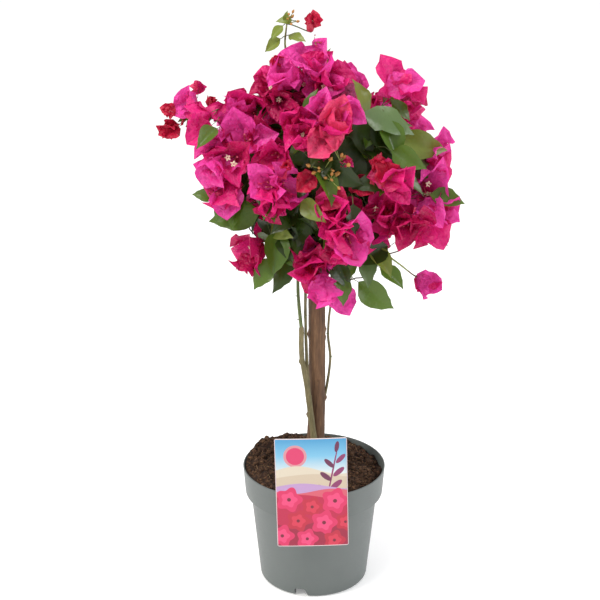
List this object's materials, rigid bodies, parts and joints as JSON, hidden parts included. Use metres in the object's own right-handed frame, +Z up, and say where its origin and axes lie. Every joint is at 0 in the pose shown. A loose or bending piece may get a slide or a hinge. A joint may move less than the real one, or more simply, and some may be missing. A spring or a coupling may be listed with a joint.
{
  "type": "bougainvillea standard in a pot",
  "caption": "Small bougainvillea grown as a ball-headed standard on a straight trunk, with pink bracts, in a round nursery pot with a card label.",
  "frame": {"origin": "centre of the flat pad under the pot, on the ground", "axes": "+Z up along the pot's axis, -Y towards the label, +X to the right of a viewer who faces the label"},
  "size_m": [0.3364, 0.2417, 0.6889],
  "materials": {
    "pot": "thin moulded grey-green plastic, satin",
    "compost": "moist, fibrous dark brown compost",
    "label_card": null,
    "bark": "brown bark with fine upright streaks",
    "stem_bark": "olive-tan young bark with small thorns",
    "bracts": "papery magenta bracts",
    "leaves": "smooth green leaves"
  },
  "bodies": {
    "root": {"pot": "pot", "soil": "compost", "label": "label_card", "trunk": "bark", "stem_left": "stem_bark", "stem_left_outer": "stem_bark", "stem_left_inner": "stem_bark", "stem_right": "stem_bark", "bough_top": "stem_bark", "bough_left": "stem_bark", "bough_low_right": "stem_bark", "bracts_crown_top": "bracts", "bracts_top_left": "bracts", "bracts_left_shoulder": "bracts", "bracts_left_upper": "bracts", "bracts_left_lower": "bracts", "leaves_low_left": "leaves", "bracts_low_left": "bracts", "bracts_centre_left": "bracts", "bracts_centre_upper": "bracts", "leaves_centre": "leaves", "leaves_upper_right": "leaves", "bracts_upper_right": "bracts", "leaves_right_upper": "leaves", "leaves_right_middle": "leaves", "bracts_right": "bracts", "bracts_right_low": "bracts", "bracts_centre_low": "bracts", "bracts_low_centre": "bracts", "leaves_low_right": "leaves", "leaves_low_tip": "leaves", "bracts_low_tip": "bracts", "bloom_low_right": "bracts", "spray_left": "bracts", "spray_top": "bracts", "buds_top": "bracts", "leaves_far_right": "leaves", "foliage_core": "leaves", "bracts_back_top": "bracts", "bracts_back_left_high": "bracts", "bracts_back_right_high": "bracts", "bracts_back_centre": "bracts", "bracts_back_left": "bracts", "bracts_back_right": "bracts", "leaves_back_low": "leaves"}
  },
  "joints": []
}
